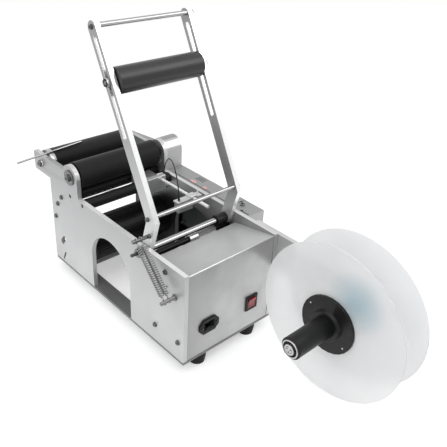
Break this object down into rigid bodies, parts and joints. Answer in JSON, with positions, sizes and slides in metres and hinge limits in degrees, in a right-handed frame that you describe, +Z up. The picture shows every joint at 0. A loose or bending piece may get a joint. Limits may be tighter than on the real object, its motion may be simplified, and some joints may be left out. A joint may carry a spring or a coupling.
{
  "type": "bottle labeling machine",
  "caption": "Desk machine that wraps labels round bottles: side plates, sprung press lever with roller, driven rollers, label sensor and a label reel on an outrigger arm.",
  "frame": {"origin": "on the floor, under the middle of the whole machine", "axes": "+Z up, +Y to the rear away from the label reel, +X to the side with the control box"},
  "size_m": [0.3262, 0.846, 0.5775],
  "materials": {
    "brushed_plate": "satin",
    "brushed_sheet": "brushed",
    "chrome": "polished",
    "steel": "satin",
    "coated_sheet": "satin",
    "rubber": "matte",
    "black_metal": "satin",
    "black_plastic": "matte",
    "red_plastic": "gloss",
    "milky_plastic": "satin",
    "board": "matte",
    "white_plastic": "satin"
  },
  "bodies": {
    "frame": {"base_plate": "brushed_plate", "foot_front_left": "rubber", "foot_front_right": "rubber", "foot_rear_left": "rubber", "foot_rear_right": "rubber", "left_side_plate": "brushed_plate", "right_side_plate": "brushed_plate", "front_cover": "brushed_sheet", "power_inlet": "black_plastic", "switch_bezel": "black_plastic", "control_box": "coated_sheet", "control_panel": "coated_sheet", "circuit_board": "board", "belt_cover": "coated_sheet", "spool_arm": "brushed_plate", "drive_motor": "black_metal", "power_supply": "steel", "pivot_shaft": "chrome", "pivot_nut_left": "steel", "pivot_nut_right": "steel", "shaft_collar": "black_metal", "web_guide_rod": "black_metal", "tie_rod": "chrome", "sensor_rail": "chrome", "sensor_bracket": "brushed_plate", "sensor_lead": "black_plastic", "lower_spring_post": "steel", "drive_bearing_left": "steel", "drive_bearing_right": "steel", "spring_inner": "steel", "spring_outer": "steel", "spool_axle": "steel", "drive_belt": "rubber"},
    "rocker": {"rocker_switch": "red_plastic"},
    "press_lever": {"press_arm_left": "brushed_plate", "press_arm_right": "brushed_plate", "handle_rod": "chrome", "cross_rod": "chrome", "upper_spring_post": "steel"},
    "press_carriage": {"press_axle": "steel", "axle_nut_left": "steel", "axle_nut_right": "steel"},
    "press_wheel": {"press_roller": "rubber"},
    "drive_wheel": {"drive_roller": "rubber", "drive_shaft": "steel", "drive_pulley": "steel"},
    "take_up_wheel": {"take_up_roller": "rubber", "take_up_pulley": "steel"},
    "motor_rotor": {"motor_pulley": "steel"},
    "guide_wheel": {"guide_roller": "rubber"},
    "nip_wheel": {"nip_roller": "rubber"},
    "guide_collar": {"label_guide": "white_plastic"},
    "sensor": {"sensor_head": "brushed_plate"},
    "pin": {"liner_pin": "chrome"},
    "spool_hub": {"core_tube": "black_metal", "end_bearing": "steel", "rear_disc": "milky_plastic", "rear_flange": "black_plastic"},
    "spool_front": {"front_disc": "milky_plastic", "front_flange": "black_plastic"}
  },
  "joints": [
    {"name": "rocker_tilt", "type": "hinge", "parent": "frame", "child": "rocker", "pos_m": [0.06408, -0.0888, 0.087], "axis": [-1, 0, 0], "range_deg": [0, 13.6]},
    {"name": "press_lever_tilt", "type": "hinge", "parent": "frame", "child": "press_lever", "pos_m": [0.00908, 0.0375, 0.205], "axis": [-1, 0, 0], "range_deg": [0, 44], "stiffness_Nm_per_rad": 3.2, "springref_deg": -74.48, "deforming": ["spring_inner", "spring_outer"]},
    {"name": "press_roller_height", "type": "slide", "parent": "press_lever", "child": "press_carriage", "axis": [0, 0.4617, 0.887], "range_m": [-0.091, 0.06]},
    {"name": "press_roller_spin", "type": "hinge", "parent": "press_carriage", "child": "press_wheel", "pos_m": [0.00908, 0.1312, 0.48654], "axis": [-1, 0, 0], "continuous": true},
    {"name": "drive_roller_spin", "type": "hinge", "parent": "frame", "child": "drive_wheel", "pos_m": [0.00908, 0.271, 0.258], "axis": [-1, 0, 0], "continuous": true},
    {"name": "take_up_spin", "type": "hinge", "parent": "frame", "child": "take_up_wheel", "pos_m": [0.00908, 0.385, 0.246], "axis": [-1, 0, 0], "continuous": true},
    {"name": "motor_spin", "type": "hinge", "parent": "frame", "child": "motor_rotor", "pos_m": [0.12908, 0.263, 0.115], "axis": [-1, 0, 0], "continuous": true},
    {"name": "guide_roller_spin", "type": "hinge", "parent": "frame", "child": "guide_wheel", "pos_m": [0.00908, 0.23, 0.212], "axis": [-1, 0, 0], "continuous": true},
    {"name": "nip_roller_spin", "type": "hinge", "parent": "frame", "child": "nip_wheel", "pos_m": [0.00908, 0.276, 0.214], "axis": [-1, 0, 0], "continuous": true},
    {"name": "label_guide_slide", "type": "slide", "parent": "frame", "child": "guide_collar", "axis": [-1, 0, 0], "range_m": [0, 0.085]},
    {"name": "sensor_slide", "type": "slide", "parent": "frame", "child": "sensor", "axis": [0, 1, 0], "range_m": [-0.04, 0.08]},
    {"name": "liner_pin_slide", "type": "slide", "parent": "frame", "child": "pin", "axis": [0.9966, 0.0777, 0.027], "range_m": [0, 0.06]},
    {"name": "spool_spin", "type": "hinge", "parent": "frame", "child": "spool_hub", "pos_m": [0.00908, -0.282, 0.177], "axis": [-1, 0, 0], "continuous": true},
    {"name": "front_disc_slide", "type": "slide", "parent": "spool_hub", "child": "spool_front", "axis": [-1, 0, 0], "range_m": [0, 0.06]}
  ],
  "couplings": [
    {"joint": "take_up_spin", "follows": "drive_roller_spin", "ratio": 1.0667},
    {"joint": "motor_spin", "follows": "drive_roller_spin", "ratio": 1.0667}
  ]
}
